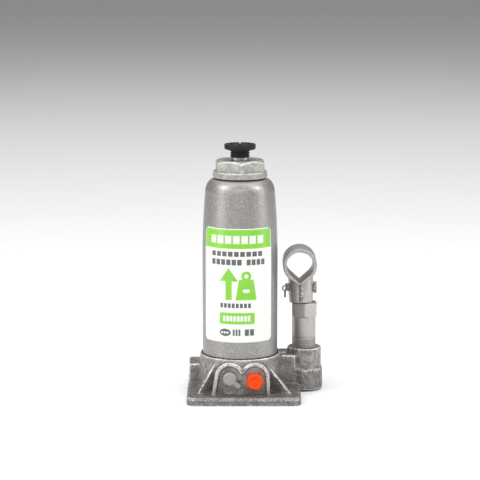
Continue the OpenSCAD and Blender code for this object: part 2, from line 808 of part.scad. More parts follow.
module pump_wiper() {
    color(rubber_black) at_pump() translate([0, 0, pump_top_z - pump_wiper_h])
        ring(pump_wiper_r, plunger_r + run_gap, pump_wiper_h);
}

// Plunger with a seal groove below and a flat tongue for the clevis pin above. A flat on its right
// side lets the yoke's cheek pass.
module pump_plunger() {
    flat_z = pin_z - 1.25 * norm([yoke_drop, yoke_foot_y]);  // below the reach of the turned cheek
    color(steel) difference() {
        union() {
            at_pump() translate([0, 0, plunger_z]) chamfered(pump_top_z - plunger_z, plunger_r, 0.5);
            translate([tongue_x, pump_y - tongue_r, pump_top_z - eps])
                cube([tongue_w, 2 * tongue_r, pin_z - pump_top_z]);
            translate([tongue_x, pump_y, pin_z]) facing_right() cylinder(h = tongue_w, r = tongue_r);
        }
        translate([tongue_x + tongue_w, pump_y - plunger_d, flat_z]) cube([plunger_d, 2 * plunger_d, pin_z]);
        translate([tongue_x - 1, pump_y, pin_z]) facing_right()
            cylinder(h = tongue_w + 2, r = clevis_r + run_gap);
        at_pump() translate([0, 0, seal_ring_z]) ring(plunger_r + 1, plunger_r - 2, plunger_seal_h + 1);
    }
}

module plunger_seal() {
    color(rubber_black) at_pump() translate([0, 0, seal_ring_z])
        ring(plunger_r + run_gap / 2, plunger_r - 2 + run_gap, plunger_seal_h - run_gap);
}

module plunger_ring() {
    color(nylon_white) at_pump() translate([0, 0, seal_ring_z + plunger_seal_h])
        ring(plunger_r, plunger_r - 2 + run_gap, 1 - run_gap);
}

module suction_ball() {
    color(steel) at_pump() translate([0, 0, suction_seat_z + ball_rise]) sphere(r = ball_r);
}

retainer_z = pump_seat_z - 2.4;
module suction_retainer() {
    color(steel) at_pump() translate([0, 0, retainer_z]) ring(suction_r - run_gap, 1.7, 0.8);
}

// Perforated disc over the suction drilling in the oil groove
module suction_strainer() {
    hole_n = 6;
    color("#b8a060") towards_pump() translate([groove_mid_r, 0, groove_z]) difference() {
        cylinder(h = 0.8, r = 2.9);
        for (i = [0 : hole_n - 1]) rotate([0, 0, i * 360 / hole_n]) translate([1.4, 0, -eps])
            cylinder(h = 2, r = 0.4);
    }
}

module suction_passage_plug() {
    color(steel) towards_pump() translate([pump_far + 7, 0, suction_low_z]) facing_right()
        cylinder(h = boss_r - 9, r = 2 - run_gap);
}

module delivery_ball() {
    color(steel) towards_pump() translate([delivery_far, 0, delivery_ball_z]) sphere(r = ball_r);
}

module delivery_spring() {
    wire = 0.35;
    z = delivery_ball_z + ball_r - 0.35;
    color(steel) towards_pump() translate([delivery_far, 0, z])
        coil_spring(1.6, wire, delivery_plug_z - z, 4);
}

module delivery_plug() {
    color(steel) towards_pump() translate([delivery_far, 0, delivery_plug_z]) difference() {
        cylinder(h = web_h - delivery_plug_z - 0.5, r = delivery_r - run_gap);
        translate([-delivery_r - 1, -0.5, web_h - delivery_plug_z - 1.6])
            cube([2 * delivery_r + 2, 1, 3]);
    }
}

// ---- the handle socket and the link ----

// A circle with a pointed lower side, at tip below its centre. Its flanks meet the circle a little
// inside the points where they would be tangent to it.
module teardrop(r, tip) {
    a = acos(r / tip) * 0.88;
    circle(r = r);
    polygon([[0, 0], [-r * sin(a), -r * cos(a)], [0, -tip], [r * sin(a), -r * cos(a)]]);
}

outer_tip = socket_out_r + 2.4;
inner_tip = socket_r + 3.7;
module socket_solid(r, tip, spare) {
    translate([socket_x, socket_y0 - spare, socket_z]) rotate([90, 0, 0]) mirror([0, 0, 1])
        linear_extrude(socket_len + 2 * spare) teardrop(r, tip);
}

// Tube that the handle pushes into, folded from sheet with its seam underneath
module handle_socket() {
    color(paint_grey) difference() {
        socket_solid(socket_out_r, outer_tip, 0);
        socket_solid(socket_r, inner_tip, 1);
    }
}

// Plan of the yoke: two cheeks and a round nose at the front, open at the back
module yoke_plan(half, spare) {
    translate([yoke_x, yoke_front_y + yoke_w / 2]) circle(r = half);
    translate([yoke_x - half, yoke_front_y + yoke_w / 2]) square([2 * half, lever_e + 14 + spare]);
}

// Side view of the yoke, in Y and height
module yoke_side() {
    polygon([
        [yoke_front_y - 1, pin_z - yoke_drop + 0.8], [yoke_front_y + 4, pin_z - yoke_drop],
        [pump_y + yoke_foot_y, pin_z - yoke_drop], [link_y + 1, pin_z - 7.5], [link_y + 6, pin_z - 4],
        [link_y + 7.5, pin_z], [link_y + 6, pin_z + 5], [link_y, pin_z + 7.5],
        [socket_y0 + socket_len, pin_z + 9], [socket_y0 + socket_len, socket_z - 4],
        [yoke_front_y - 1, socket_z - 4]
    ]);
}

module socket_yoke() {
    color(paint_grey) difference() {
        intersection() {
            linear_extrude(socket_z) difference() {
                yoke_plan(yoke_w / 2, 0);
                yoke_plan(yoke_in, 5);
            }
            translate([yoke_x - yoke_w, 0, 0]) rotate([90, 0, 90]) linear_extrude(2 * yoke_w) yoke_side();
        }
        socket_solid(socket_out_r, outer_tip, 30);
        translate([yoke_x - yoke_w, pump_y, pin_z]) facing_right()
            cylinder(h = 2 * yoke_w, r = clevis_r + run_gap);
        translate([yoke_x - yoke_w, link_y, pin_z]) facing_right()
            cylinder(h = 2 * yoke_w, r = link_pin_r + link_play);
    }
}

clevis_head_r = 4.5;
clevis_head_t = 2.4;
clevis_end_x = yoke_x - yoke_w / 2 - 3.2;
cotter_x = yoke_x - yoke_w / 2 - 1.4;
cotter_r = 0.8;
module clevis_pin() {
    color(steel) difference() {
        union() {
            translate([clevis_end_x, pump_y, pin_z]) facing_right()
                cylinder(h = yoke_x + yoke_w / 2 + 0.4 - clevis_end_x, r = clevis_r);
            translate([yoke_x + yoke_w / 2 + 0.4, pump_y, pin_z]) facing_right()
                cylinder(h = clevis_head_t, r = clevis_head_r);
        }
        translate([cotter_x, pump_y, pin_z]) facing_front() translate([0, 0, -10])
            cylinder(h = 20, r = cotter_r + run_gap);
    }
}

// Split pin through the clevis pin: an eye at the back, and at the front one leg that is curled
// into a ring and one that hangs down
module cotter_pin() {
    eye_r = 1.7;
    curl_r = 1.9;
    wire_r = 0.55;
    leg = 5.4;
    reach = clevis_r + 1;
    color(steel) translate([cotter_x, pump_y, pin_z]) {
        facing_front() translate([0, 0, -reach]) cylinder(h = 2 * reach, r = cotter_r, $fn = 24);
        translate([0, reach + eye_r, 0]) facing_right()
            rotate_extrude() translate([eye_r, 0]) circle(r = wire_r, $fn = 24);
        translate([-curl_r, -reach, 0]) facing_front()
            rotate_extrude() translate([curl_r, 0]) circle(r = wire_r, $fn = 24);
        translate([-curl_r, -reach, -curl_r - leg]) cylinder(h = leg, r = 0.8, $fn = 24);
    }
}

// One flat bar of the link, from x on
module link_bar(x) {
    bar = pin_z - link_low_z;
    color(paint_grey) translate([x, link_y, link_low_z]) facing_right() difference() {
        union() {
            cylinder(h = link_w, r = link_r);
            translate([-bar, 0, 0]) cylinder(h = link_w, r = link_r);
            translate([-bar, -link_r, 0]) cube([bar, 2 * link_r, link_w]);
        }
        for (at = [0, -bar]) translate([at, 0, -1]) cylinder(h = link_w + 2, r = link_pin_r + run_gap);
    }
}

module link_left() {
    link_bar(yoke_x - yoke_in + side_gap);
}

module link_right() {
    link_bar(yoke_x + yoke_in - side_gap - link_w);
}

module link_upper_pin() {
    color(steel) translate([yoke_x - yoke_w / 2 + 0.2, link_y, pin_z]) facing_right()
        chamfered(yoke_w - 0.4, link_pin_r, 0.4);
}

link_pin_reach = yoke_in + 1.6;
module link_lower_pin() {
    color(steel) translate([yoke_x - link_pin_reach, link_y, link_low_z]) facing_right() difference() {
        chamfered(2 * link_pin_reach, link_pin_r, 0.4);
        for (z = [1, 2 * link_pin_reach - 1.9]) translate([0, 0, z]) ring(link_pin_r + 1, link_pin_r - 0.8, 0.9);
    }
}

// Two snap clips on the ends of the link's lower pin
module link_clips() {
    clip_t = 0.8;
    color(dark_steel) for (x = [-link_pin_reach + 1.05, link_pin_reach - 1.85])
        translate([yoke_x + x, link_y, link_low_z]) facing_right() rotate([0, 0, 30])
        rotate_extrude(angle = 300) translate([link_pin_r - 0.75, 0]) square([2.6, clip_t]);
}

base_casting();
tank_shell();
tank_foot_gasket();
label();
filler_plug();
cylinder_tube();
cylinder_seal_ring();
top_gasket();
top_nut();
top_nut_oring();
ram_wiper();
ram();
piston_head();
ram_backing_ring();
ram_cup_seal();
piston_nut();
extension_screw();
screw_stop_ring();
saddle();
saddle_snap_ring();
release_screw();
release_oring();
release_ball();
overload_cap();
overload_screw();
overload_spring();
overload_ball();
pump_cylinder();
pump_washer();
pump_wiper();
pump_plunger();
plunger_seal();
plunger_ring();
suction_ball();
suction_retainer();
suction_strainer();
suction_passage_plug();
delivery_ball();
delivery_spring();
delivery_plug();
handle_socket();
socket_yoke();
clevis_pin();
cotter_pin();
link_left();
link_right();
link_upper_pin();
link_lower_pin();
link_clips();
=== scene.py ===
# A hydraulic bottle jack: rough cast base, painted oil tank with a wrap-round label, top nut,
# ram with extension screw and grooved saddle, two valves, hand pump, handle socket and link.
import json
import math

import bmesh
import bpy
from mathutils import Matrix, Vector, noise


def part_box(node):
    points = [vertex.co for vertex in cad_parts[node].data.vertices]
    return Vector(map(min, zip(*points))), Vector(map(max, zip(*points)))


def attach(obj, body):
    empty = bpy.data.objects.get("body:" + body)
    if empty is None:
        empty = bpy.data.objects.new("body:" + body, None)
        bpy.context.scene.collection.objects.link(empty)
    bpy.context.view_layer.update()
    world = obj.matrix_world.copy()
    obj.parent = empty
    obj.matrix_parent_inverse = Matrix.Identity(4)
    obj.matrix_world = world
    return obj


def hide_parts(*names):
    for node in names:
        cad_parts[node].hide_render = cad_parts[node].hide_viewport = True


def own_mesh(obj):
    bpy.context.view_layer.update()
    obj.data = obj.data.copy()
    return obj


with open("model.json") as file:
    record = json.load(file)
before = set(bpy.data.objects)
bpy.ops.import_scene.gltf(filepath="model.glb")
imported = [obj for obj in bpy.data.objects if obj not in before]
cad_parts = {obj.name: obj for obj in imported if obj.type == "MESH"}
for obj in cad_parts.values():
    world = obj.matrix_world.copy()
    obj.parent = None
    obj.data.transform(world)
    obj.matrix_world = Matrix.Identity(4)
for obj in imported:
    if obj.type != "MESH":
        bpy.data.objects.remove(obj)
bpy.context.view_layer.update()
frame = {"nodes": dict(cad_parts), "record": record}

MM = 0.001
NODES = frame["nodes"]
RECORD = frame["record"]
BODY_OF = {n: b for b, names in RECORD["behaviour"]["bodies"].items() for n in names}
SLOT_OF = {s["node"]: s["material_slot"] for s in RECORD["subparts"]}


# ---------------------------------------------------------------- shader maths

def srgb(r, g, b):
    """A colour given in 0-255 display values, as linear RGBA."""
    def linear(c):
        c /= 255
        return c / 12.92 if c <= 0.04045 else ((c + 0.055) / 1.055) ** 2.4
    return (linear(r), linear(g), linear(b), 1.0)


class Field:
    """One socket of a finish; arithmetic on it adds Math nodes."""

    def __init__(self, finish, socket):
        self.finish = finish
        self.socket = socket

    def math(self, operation, *values):
        return self.finish.node("ShaderNodeMath", {"operation": operation}, dict(enumerate(values)))

    def __add__(self, other):
        return self.math("ADD", self, other)

    def __radd__(self, other):
        return self.math("ADD", other, self)

    def __sub__(self, other):
        return self.math("SUBTRACT", self, other)

    def __rsub__(self, other):
        return self.math("SUBTRACT", other, self)

    def __mul__(self, other):
        return self.math("MULTIPLY", self, other)

    def __rmul__(self, other):
        return self.math("MULTIPLY", other, self)

    def __truediv__(self, other):
        return self.math("DIVIDE", self, other)

    def __rtruediv__(self, other):
        return self.math("DIVIDE", other, self)

    def __mod__(self, other):
        return self.math("FLOORED_MODULO", self, other)

    def __abs__(self):
        return self.math("ABSOLUTE", self)

    def least(self, other):
        return self.math("MINIMUM", self, other)

    def most(self, other):
        return self.math("MAXIMUM", self, other)

    def ramp(self, low, high, to_low=0.0, to_high=1.0):
        """Smooth step from low to high."""
        return self.finish.node("ShaderNodeMapRange", {"interpolation_type": "SMOOTHSTEP"},
                                {0: self, 1: low, 2: high, 3: to_low, 4: to_high})


class Finish:
    """A material built from nodes around one Principled shader."""

    def __init__(self, name, **fixed):
        self.material = bpy.data.materials.new(name)
        self.material.use_nodes = True
        self.tree = self.material.node_tree
        self.shader = self.tree.nodes["Principled BSDF"]
        for socket, value in fixed.items():
            self.shader.inputs[socket.replace("_", " ").title().replace("Ior", "IOR")].default_value = value
        self.place = self.node("ShaderNodeTexCoord", output="Object")

    def node(self, kind, settings=None, inputs=None, output=0):
        made = self.tree.nodes.new(kind)
        for key, value in (settings or {}).items():
            setattr(made, key, value)
        for key, value in (inputs or {}).items():
            self.join(value, made.inputs[key])
        return Field(self, made.outputs[output])

    def join(self, value, socket):
        if isinstance(value, Field):
            self.tree.links.new(value.socket, socket)
        else:
            socket.default_value = value

    def set(self, **values):
        for socket, value in values.items():
            self.join(value, self.shader.inputs[socket.replace("_", " ").title()])

    def noise(self, size, detail=3.0, rough=0.55, where=None, warp=0.0):
        """Noise with features of about the given size in millimetres."""
        return self.node("ShaderNodeTexNoise", {}, {
            "Vector": where or self.place, "Scale": 1 / (size * MM), "Detail": detail,
            "Roughness": rough, "Distortion": warp})

    def cells(self, size, where=None):
        return self.node("ShaderNodeTexVoronoi", {}, {
            "Vector": where or self.place, "Scale": 1 / (size * MM)})

    def stretched(self, x, y, z):
        """Object coordinates scaled along each axis."""
        return self.node("ShaderNodeMapping", {"vector_type": "POINT"},
                         {"Vector": self.place, "Scale": (x, y, z)})

    def axis(self, which, where=None):
        return self.node("ShaderNodeSeparateXYZ", {}, {0: where or self.place}, output=which)

    def mix(self, amount, a, b):
        return self.node("ShaderNodeMix", {"data_type": "RGBA"}, {0: amount, 6: a, 7: b}, output=2)

    def attribute(self, name):
        return self.node("ShaderNodeAttribute", {"attribute_name": name}, output=2)

    def bump(self, height, depth, strength=1.0):
        """Bump of a height field in 0-1 that stands for depth millimetres."""
        bumped = self.node("ShaderNodeBump", {}, {
            "Height": height, "Distance": depth * MM, "Strength": strength})
        self.join(bumped, self.shader.inputs["Normal"])
        return bumped


# ---------------------------------------------------------------- finishes

def tank_paint(name, low=(131, 128, 127), high=(142, 139, 137)):
    """Smooth silver-grey paint with metallic flake and light marks."""
    f = Finish(name, metallic=0.75, coat_weight=0.15, coat_roughness=0.2)
    flake = f.cells(0.3)
    speck = f.noise(1.2, 2, 0.6)
    cloud = f.noise(9, 3)
    mark = f.noise(2.2, 5, 0.7, warp=0.6).ramp(0.66, 0.74)
    base = f.mix(cloud, srgb(*low), srgb(*high))
    base = f.mix(speck.ramp(0.48, 0.36) * 0.35, base, srgb(116, 113, 112))
    base = f.mix(speck.ramp(0.52, 0.66) * 0.4, base, srgb(196, 193, 191))
    base = f.mix(flake.ramp(0.0, 0.6) * 0.18, base, srgb(198, 196, 194))
    base = f.mix(mark * 0.3, base, srgb(112, 109, 107))
    f.set(base_color=base, roughness=0.37 + speck * 0.12 + mark * 0.1)
    f.bump(flake * 0.3 + speck * 0.7, 0.06, 0.6)
    return f.material


def cast_paint(name, dark=(118, 114, 111), light=(156, 152, 149), edge=(222, 219, 216), sparkle=0.44):
    """The same paint over a rough sand casting, worn bright on its ridges with a painted highlight there,
    with painted shade in its hollows and towards its bottom.
    """
    f = Finish(name, metallic=0.6, coat_weight=0.15, coat_roughness=0.25)
    wear_sheen_and_shade = f.attribute("wear_sheen_and_shade")
    grain = f.noise(0.85, 4, 0.6)
    sand = f.noise(1.5, 2, 0.5)
    lump = f.noise(5.0, 4, 0.6)
    base = f.mix(lump.ramp(0.35, 0.65), srgb(*dark), srgb(*light))
    base = f.mix(sand.ramp(0.46, 0.30) * sparkle, base, srgb(58, 56, 55))
    base = f.mix(sand.ramp(0.54, 0.68) * sparkle, base, srgb(178, 174, 171))
    # bright ridges in the edge colour: partly real wear of the paint, partly a painted highlight
    worn_and_highlit = (wear_sheen_and_shade + (sand - 0.5) * 0.6).ramp(0.2, 0.7)
    base = f.mix(worn_and_highlit * 0.85, base, srgb(*edge))
    # painted shade in the hollows and concave corners of the casting
    hollow_shade = (0 - wear_sheen_and_shade + (sand - 0.5) * 0.3).ramp(0.15, 0.7)
    base = f.mix(hollow_shade * 0.35, base, srgb(50, 48, 48))
    low_shade = f.axis(2).ramp(24 * MM, 3 * MM) * 0.42       # painted shade: darker towards the bottom of the base
    base = f.mix(low_shade, base, srgb(66, 64, 63))
    f.set(base_color=base, roughness=0.36 - worn_and_highlit * 0.1 + grain * 0.14)
    f.bump(sand * 0.6 + grain * 0.4, 0.75, 1.0)
    return f.material


def steel(name, low=(150, 148, 146), high=(196, 194, 191), rough=0.26, brushed=(1, 1, 8), metallic=1.0):
    """Turned or ground steel, with fine tool marks across one axis and faint stains."""
    f = Finish(name, metallic=metallic)
    lines = f.noise(1.4, 4, 0.6, where=f.stretched(*brushed))
    stain = f.noise(3.6, 4, 0.6, warp=0.4)
    base = f.mix(lines * 0.5 + stain * 0.5, srgb(*low), srgb(*high))
    base = f.mix(stain.ramp(0.62, 0.75) * 0.35, base, srgb(92, 82, 74))
    f.set(base_color=base, roughness=rough + lines * 0.14 + stain * 0.08)
    f.bump(lines, 0.02, 0.5)
    return f.material


def moulded(name, low, high, rough=0.42, depth=0.03, grain=0.5, gloss=0.5):
    """Moulded plastic or rubber: slight mottling, fine texture, dusty spots."""
    f = Finish(name, metallic=0.0)
    f.shader.inputs["Specular IOR Level"].default_value = gloss
    cloud = f.noise(4, 3)
    fine = f.noise(grain, 3)
    dust = f.noise(1.3, 5, 0.7).ramp(0.64, 0.78)
    base = f.mix(cloud, srgb(*low), srgb(*high))
    base = f.mix(dust * 0.12, base, srgb(190, 186, 180))
    f.set(base_color=base, roughness=rough + fine * 0.12 + dust * 0.1)
    f.bump(fine * 0.7 + cloud * 0.3, depth, 0.6)
    return f.material


def printed_label(name, height):
    """White film with a green band, plain blocks in place of words, an arrow and a weight."""
    f = Finish(name, metallic=0.0, coat_weight=0.35, coat_roughness=0.16)
    uv = f.node("ShaderNodeUVMap", {"uv_map": "sheet"})
    s = f.axis(0, uv)
    v = f.axis(1, uv)
    white, green, grey = srgb(214, 216, 211), srgb(120, 190, 44), srgb(82, 85, 84)
    soft = 0.12

    def box(s0, s1, v0, v1, corner=0.0):
        """Mask of a rectangle in label millimetres, with cut corners."""
        ds = abs(s - (s0 + s1) / 2) - (s1 - s0) / 2
        dv = abs(v - (v0 + v1) / 2) - (v1 - v0) / 2
        inside = 0 - ds.most(dv)
        if corner:
            inside = inside.least(0 - (ds + dv + corner))
        return inside.ramp(-soft, soft)

    def blocks(mask, start, step, share):
        """Cuts a mask into even blocks along the label."""
        gap = abs((s - start) % step - step * share / 2)
        return mask * (step * share / 2 - gap).ramp(-soft, soft)

    top_corners = (29.4 - abs(s)) + (height - 0.7 - v) - 1.3
    band = box(-29.4, 29.4, 72.3, height - 0.7) * top_corners.ramp(-soft, soft)
    on_band = blocks(box(-22.2, 22.2, 76.1, 82.2), -22.2, 6.4, 0.8)
    row_1 = blocks(box(-21, 21, 66.3, 70.1), -21, 4.7, 0.78)
    row_2 = blocks(box(-21, 4.4, 59.7, 64.1), -21, 4.25, 0.8)
    row_3 = blocks(box(7.4, 23, 59.7, 64.1), 7.4, 3.95, 0.8)
    # pictogram: an arrow that points up, and a weight with a ring
    head = (5.9 - abs(s + 6.4) - (v - 49.4) * 0.72).least(v - 47.2).ramp(-soft, soft)
    stem = box(-8.9, -3.9, 32.8, 48.0)
    tall = (v - 32.8) * 0.16
    sides = (8.2 - tall - abs(s - 7.2)).least((v - 32.8).least(48.6 - v)).ramp(-soft, soft)
    away = (s - 7.2) * (s - 7.2) + (v - 51.2) * (v - 51.2)
    ring_d = away.math("SQRT", away)
    ring = (1.15 - abs(ring_d - 2.7)).ramp(-soft, soft)
    slot = box(4.6, 9.8, 38.6, 41.2, 0.6)
    picture = head.most(stem).most(ring).most(sides * (1 - slot))
    row_4 = blocks(box(-13.2, 11.4, 26.8, 30.3), -13.2, 3.1, 0.74)
    plate = box(-13.8, 13.8, 14.1, 23, 0.8)
    on_plate = blocks(box(-11, 11, 16.4, 20.6), -11, 2.75, 0.76)
    oval = (1 - (((s + 9.2) / 4.6) * ((s + 9.2) / 4.6) + ((v - 7.6) / 2.9) * ((v - 7.6) / 2.9)))
    mark_a = oval.ramp(-0.05, 0.05) * (1 - blocks(box(-12.5, -6, 6.8, 8.3), -12.5, 2.2, 0.7))
    mark_b = blocks(box(-3.2, 3.0, 5.2, 10.2), -3.2, 2.2, 0.7)
    mark_c = blocks(box(6, 13.4, 5.2, 10.2), 6, 4.0, 0.82)

    base = f.mix(f.noise(12, 2), white, srgb(228, 231, 226))
    base = f.mix(band.most(picture).most(plate), base, green)
    base = f.mix(on_band.most(on_plate), base, white)
    ink = row_1.most(row_2).most(row_3).most(row_4).most(mark_a).most(mark_b).most(mark_c)
    base = f.mix(ink, base, grey)
    scuff = f.noise(1.1, 5, 0.75).ramp(0.66, 0.8)
    base = f.mix(scuff * 0.10, base, srgb(170, 170, 168))
    f.set(base_color=base, roughness=0.34 + scuff * 0.2 + f.noise(5, 2) * 0.08)
    f.bump(f.noise(3.0, 3), 0.03, 0.4)
    return f.material


# ---------------------------------------------------------------- modelling helpers

def mm(*values):
    return Vector(values) * MM


def span(node):
    """Lowest corner, highest corner and middle of a CAD node."""
    low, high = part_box(node)
    return low, high, (low + high) / 2


def cad_copy(*nodes):
    """The joined, merged surfaces of some CAD nodes."""
    bm = bmesh.new()
    for node in nodes:
        bm.from_mesh(NODES[node].data)
    bmesh.ops.remove_doubles(bm, verts=bm.verts, dist=2e-6)
    return bm


def rounded(bm, width, angle=28.0, segments=2):
    """Merges flat areas and rounds every edge that is sharper than angle."""
    bmesh.ops.dissolve_limit(bm, angle_limit=math.radians(0.6), verts=bm.verts, edges=bm.edges)
    sharp = [e for e in bm.edges
             if len(e.link_faces) == 2 and e.calc_face_angle(0) > math.radians(angle)]
    bmesh.ops.bevel(bm, geom=sharp, offset=width * MM, offset_type="OFFSET", affect="EDGES",
                    segments=segments, profile=0.5, material=-1, clamp_overlap=True)
    return bm


def finished(name, bm, body, material, replaced=(), sharp=38.0, outward=False):
    """Turns a bmesh into a smooth-shaded piece that rides on a body."""
    if outward:
        bmesh.ops.remove_doubles(bm, verts=bm.verts, dist=1e-6)
        bmesh.ops.recalc_face_normals(bm, faces=bm.faces)
    mesh = bpy.data.meshes.new(name)
    bm.to_mesh(mesh)
    bm.free()
    return placed(name, mesh, body, material, replaced, sharp)


def placed(name, mesh, body, material, replaced=(), sharp=38.0):
    mesh.materials.clear()
    mesh.materials.append(material)
    mesh.shade_smooth()
    mesh.set_sharp_from_angle(angle=math.radians(sharp))
    piece = bpy.data.objects.new(name, mesh)
    bpy.context.collection.objects.link(piece)
    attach(piece, body)
    if replaced:
        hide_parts(*replaced)
    return piece


def copy_of(node, material, width=0.25, angle=28.0, segments=2, name=None):
    """A CAD node again, with rounded edges and smooth faces."""
    return finished(name or node + "_finished", rounded(cad_copy(node), width, angle, segments),
                    BODY_OF[node], material, (node,))


def turned(profile, steps=128):
    """A closed lathe form about Z from points (radius, height) in millimetres.
    The first and last points lie on the axis, or the loop is closed where they do not."""
    bm = bmesh.new()
    verts = [bm.verts.new(mm(r, 0, z)) for r, z in profile]
    edges = [bm.edges.new(pair) for pair in zip(verts, verts[1:])]
    if profile[0][0] > 0:
        edges.append(bm.edges.new((verts[-1], verts[0])))
    bmesh.ops.spin(bm, geom=verts + edges, cent=(0, 0, 0), axis=(0, 0, 1), dvec=(0, 0, 0),
                   angle=math.tau, steps=steps, use_merge=True, use_duplicate=False)
    bmesh.ops.remove_doubles(bm, verts=bm.verts, dist=1e-6)
    bmesh.ops.recalc_face_normals(bm, faces=bm.faces)
    return bm


def aimed(bm, axis, at):
    """Turns a form built along +Z so that it points along axis, and moves it to a place."""
    turn = Vector((0, 0, 1)).rotation_difference(Vector(axis)).to_matrix().to_4x4()
    bmesh.ops.transform(bm, matrix=Matrix.Translation(at) @ turn, verts=bm.verts)
    return bm


def added(bm, other):
    """Adds a second form to the first."""
    scratch = bpy.data.meshes.new("scratch")
    other.to_mesh(scratch)
    other.free()
    bm.from_mesh(scratch)
    bpy.data.meshes.remove(scratch)
    return bm


def helix_ridge(root_r, crest_r, pitch, low, high, root_w, crest_w):
    """A right-handed thread ridge about Z, in millimetres; its two ends sink into the core."""
    turns = (high - low) / pitch
    per_turn = 48
    steps = max(int(turns * per_turn), 1)
    bm = bmesh.new()
    section = [(root_r, -root_w / 2), (crest_r, -crest_w / 2), (crest_r, crest_w / 2), (root_r, root_w / 2)]
    verts = [bm.verts.new(mm(r, 0, low + z)) for r, z in section]
    face = bm.faces.new(verts)
    made = bmesh.ops.spin(bm, geom=[face] + verts + list(face.edges), cent=(0, 0, 0), axis=(0, 0, 1),
                          dvec=(0, 0, (high - low) * MM / steps), angle=math.tau * turns,
                          steps=steps, use_merge=False, use_duplicate=False)
    bmesh.ops.recalc_face_normals(bm, faces=bm.faces)
    fade = 0.35 * per_turn / steps * (high - low)
    for v in bm.verts:
        z = v.co.z / MM
        near = min(z - low, high - z)
        if near < fade:
            r = Vector((v.co.x, v.co.y)).length / MM
            if r > root_r + 0.01:
                keep = max(near / fade, 0.02)
                scale = (root_r + (r - root_r) * keep) / r
                v.co.x *= scale
                v.co.y *= scale
    return bm


def bead(points, radius, ripple=0.18, pitch=1.5, steps=0.35):
    """A weld bead along straight runs between points in millimetres."""
    bm = bmesh.new()
    for start, end in zip(points, points[1:]):
        a, b = mm(*start), mm(*end)
        length = (b - a).length
        rings = max(int(length / (steps * MM)), 2)
        tube = bmesh.new()
        bmesh.ops.create_cone(tube, cap_ends=True, segments=16, radius1=radius * MM,
                              radius2=radius * MM, depth=length)
        lines = [e for e in tube.edges if abs(e.verts[0].co.z - e.verts[1].co.z) > length / 2]
        bmesh.ops.subdivide_edges(tube, edges=lines, cuts=rings, use_grid_fill=True)
        for v in tube.verts:
            along = v.co.z / MM
            swell = 1 + ripple * abs(math.sin(math.pi * along / pitch))
            end_taper = min(1.0, 0.45 + (length / 2 / MM - abs(along)) / radius)
            swell *= end_taper * (1 + 0.12 * noise.noise(v.co * 700))
            v.co.x *= swell
            v.co.y *= swell
        aimed(tube, (b - a).normalized(), (a + b) / 2)
        added(bm, tube)
    return bm


def filler(axis, at, radius, start, end):
    """A cylinder from start to end along an axis, which fills a bore while its casting is remeshed."""
    bm = bmesh.new()
    bmesh.ops.create_cone(bm, cap_ends=True, segments=96, radius1=radius * MM, radius2=radius * MM,
                          depth=(end - start) * MM)
    bmesh.ops.translate(bm, verts=bm.verts, vec=mm(0, 0, (start + end) / 2))
    return aimed(bm, axis, mm(*at))


def applied(bm, modifiers):
    """The mesh that a bmesh becomes under some modifiers, given as (kind, settings)."""
    mesh = bpy.data.meshes.new("working")
    bm.to_mesh(mesh)
    bm.free()
    carrier = bpy.data.objects.new("working", mesh)
    bpy.context.collection.objects.link(carrier)
    for kind, settings in modifiers:
        made = carrier.modifiers.new(kind, kind)
        for key, value in settings.items():
            setattr(made, key, value)
    graph = bpy.context.evaluated_depsgraph_get()
    result = bpy.data.meshes.new_from_object(carrier.evaluated_get(graph))
    bpy.data.objects.remove(carrier)
    out = bmesh.new()
    out.from_mesh(result)
    return out


def cast(bm, voxel, passes, rough, lump, seed):
    """Melts a form into one soft-edged casting with an uneven skin."""
    out = applied(bm, [
        ("REMESH", {"mode": "VOXEL", "voxel_size": voxel * MM, "adaptivity": 0.0}),
        ("SMOOTH", {"factor": 0.5, "iterations": passes}),
    ])
    bmesh.ops.recalc_face_normals(out, faces=out.faces)
    out.normal_update()
    offset = Vector((seed, seed * 2.3, seed * 0.7))
    moved = []
    for v in out.verts:
        fine = noise.fractal(v.co * 900 + offset, 0.7, 2.0, 3)
        broad = noise.noise(v.co * 160 + offset)
        moved.append(v.co + v.normal * (fine * rough + broad * lump) * MM)
    for v, co in zip(out.verts, moved):
        v.co = co
    return out


def with_wear_sheen_and_shade(bm, reach):
    """Writes how far each point stands out of its neighbours, as attribute 'wear'."""
    # the paint turns this into worn edges with a painted highlight on ridges and painted shade in hollows
    layer = bm.verts.layers.float.new("wear_sheen_and_shade")
    bm.normal_update()
    raw = {}
    for v in bm.verts:
        near = [e.other_vert(v).co for e in v.link_edges]
        middle = sum(near, Vector()) / max(len(near), 1)
        raw[v] = (v.co - middle).dot(v.normal) / (reach * MM)
    raw = {v: (raw[v] + sum(raw[e.other_vert(v)] for e in v.link_edges)) / (len(v.link_edges) + 1)
           for v in bm.verts}
    for v in bm.verts:
        v[layer] = max(-1.0, min(1.0, raw[v] * 1.15))
    return bm


def cut(bm, cutters):
    """Machines the cutters' forms out of a casting."""
    mesh = bpy.data.meshes.new("tool")
    tool_bm = bmesh.new()
    for cutter in cutters:
        added(tool_bm, cutter)
    tool_bm.to_mesh(mesh)
    tool_bm.free()
    tool = bpy.data.objects.new("tool", mesh)
    bpy.context.collection.objects.link(tool)
    out = applied(bm, [("BOOLEAN", {"operation": "DIFFERENCE", "solver": "MANIFOLD", "object": tool})])
    bpy.data.objects.remove(tool)
    return out


# ---------------------------------------------------------------- measures taken from the CAD nodes

